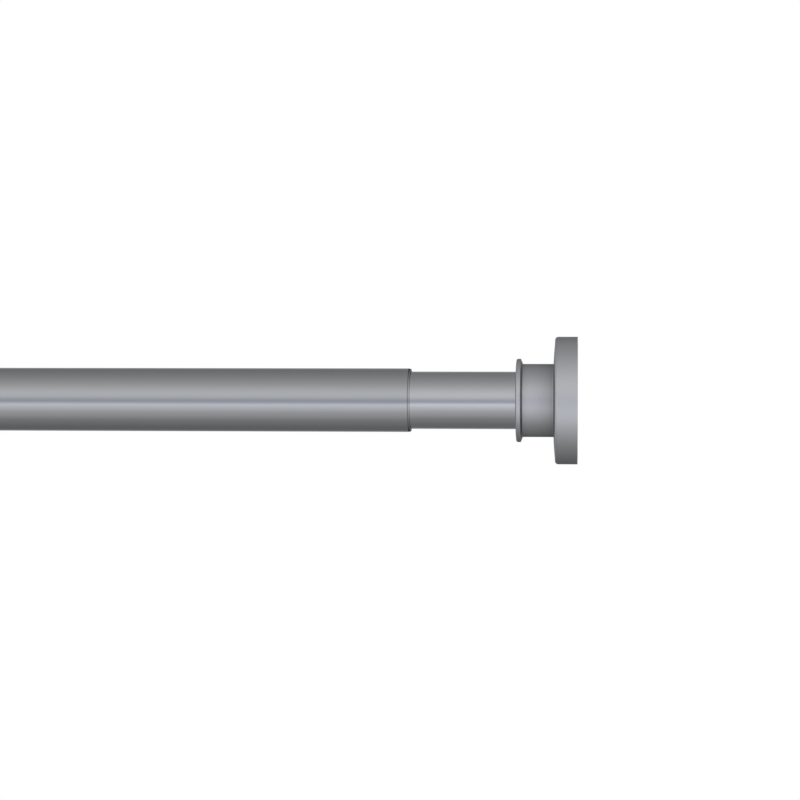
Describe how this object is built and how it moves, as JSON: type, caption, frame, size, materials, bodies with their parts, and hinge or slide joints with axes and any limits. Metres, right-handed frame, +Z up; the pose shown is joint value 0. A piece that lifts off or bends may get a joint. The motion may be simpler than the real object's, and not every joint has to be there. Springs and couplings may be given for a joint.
{
  "type": "telescopic shower curtain rod",
  "caption": "Telescopic clamp rod for a shower curtain: two sliding tubes with a twist lock, a sprung foot and round wall feet with collars.",
  "frame": {"origin": "centre of the left foot's wall face", "axes": "+X along the rod from the left wall face to the right one, +Z up, -Y towards the viewer of the picture"},
  "size_m": [0.745, 0.0558, 0.0558],
  "materials": {
    "tube_coat": "satin silver-grey coat on steel tube",
    "foot_shell": "moulded plastic with a satin silver-grey coat",
    "foot_plate": "moulded grey plastic",
    "pad_rubber": "soft dark grey rubber",
    "bush_black": "black moulded plastic",
    "plug_plastic": "dark grey moulded plastic",
    "lock_plastic": "smooth off-white plastic",
    "zinc_steel": "zinc-plated steel",
    "spring_steel": "drawn spring steel"
  },
  "bodies": {
    "left_foot": {"left_cover": "foot_shell", "left_wall_plate": "foot_plate", "left_grip_pad": "pad_rubber"},
    "outer_tube": {"outer_tube": "tube_coat", "left_end_plug": "plug_plastic", "mouth_bush": "bush_black"},
    "guide_ring": {"guide_ring": "lock_plastic"},
    "inner_tube": {"inner_tube": "tube_coat", "lock_plug": "plug_plastic", "cam_washer": "zinc_steel", "cam_screw": "zinc_steel", "right_end_plug": "plug_plastic", "spring_seat": "plug_plastic", "clamp_spring": "spring_steel"},
    "cam": {"cam_ring": "lock_plastic"},
    "plunger": {"plunger": "plug_plastic", "spring_plate": "zinc_steel"},
    "right_foot": {"right_cover": "foot_shell", "right_wall_plate": "foot_plate", "right_grip_pad": "pad_rubber"}
  },
  "joints": [
    {"name": "left_swivel", "type": "hinge", "parent": "left_foot", "child": "outer_tube", "pos_m": [0.0116, 0, 0], "axis": [1, 0, 0], "continuous": true},
    {"name": "telescope", "type": "slide", "parent": "outer_tube", "child": "guide_ring", "axis": [1, 0, 0], "range_m": [-0.038, 0.462]},
    {"name": "twist_lock", "type": "hinge", "parent": "guide_ring", "child": "inner_tube", "pos_m": [0.10445, 0, 0], "axis": [1, 0, 0], "range_deg": [-60, 60]},
    {"name": "cam_pivot", "type": "hinge", "parent": "inner_tube", "child": "cam", "pos_m": [0.0925, 0, 0.0006], "axis": [1, 0, 0], "range_deg": [-60, 60]},
    {"name": "foot_press", "type": "slide", "parent": "inner_tube", "child": "plunger", "axis": [1, 0, 0], "range_m": [-0.007, 0], "stiffness_N_per_m": 3000, "deforming": ["clamp_spring"]},
    {"name": "right_swivel", "type": "hinge", "parent": "plunger", "child": "right_foot", "pos_m": [0.7334, 0, 0], "axis": [1, 0, 0], "continuous": true}
  ],
  "couplings": [
    {"joint": "cam_pivot", "follows": "twist_lock", "ratio": -1}
  ]
}
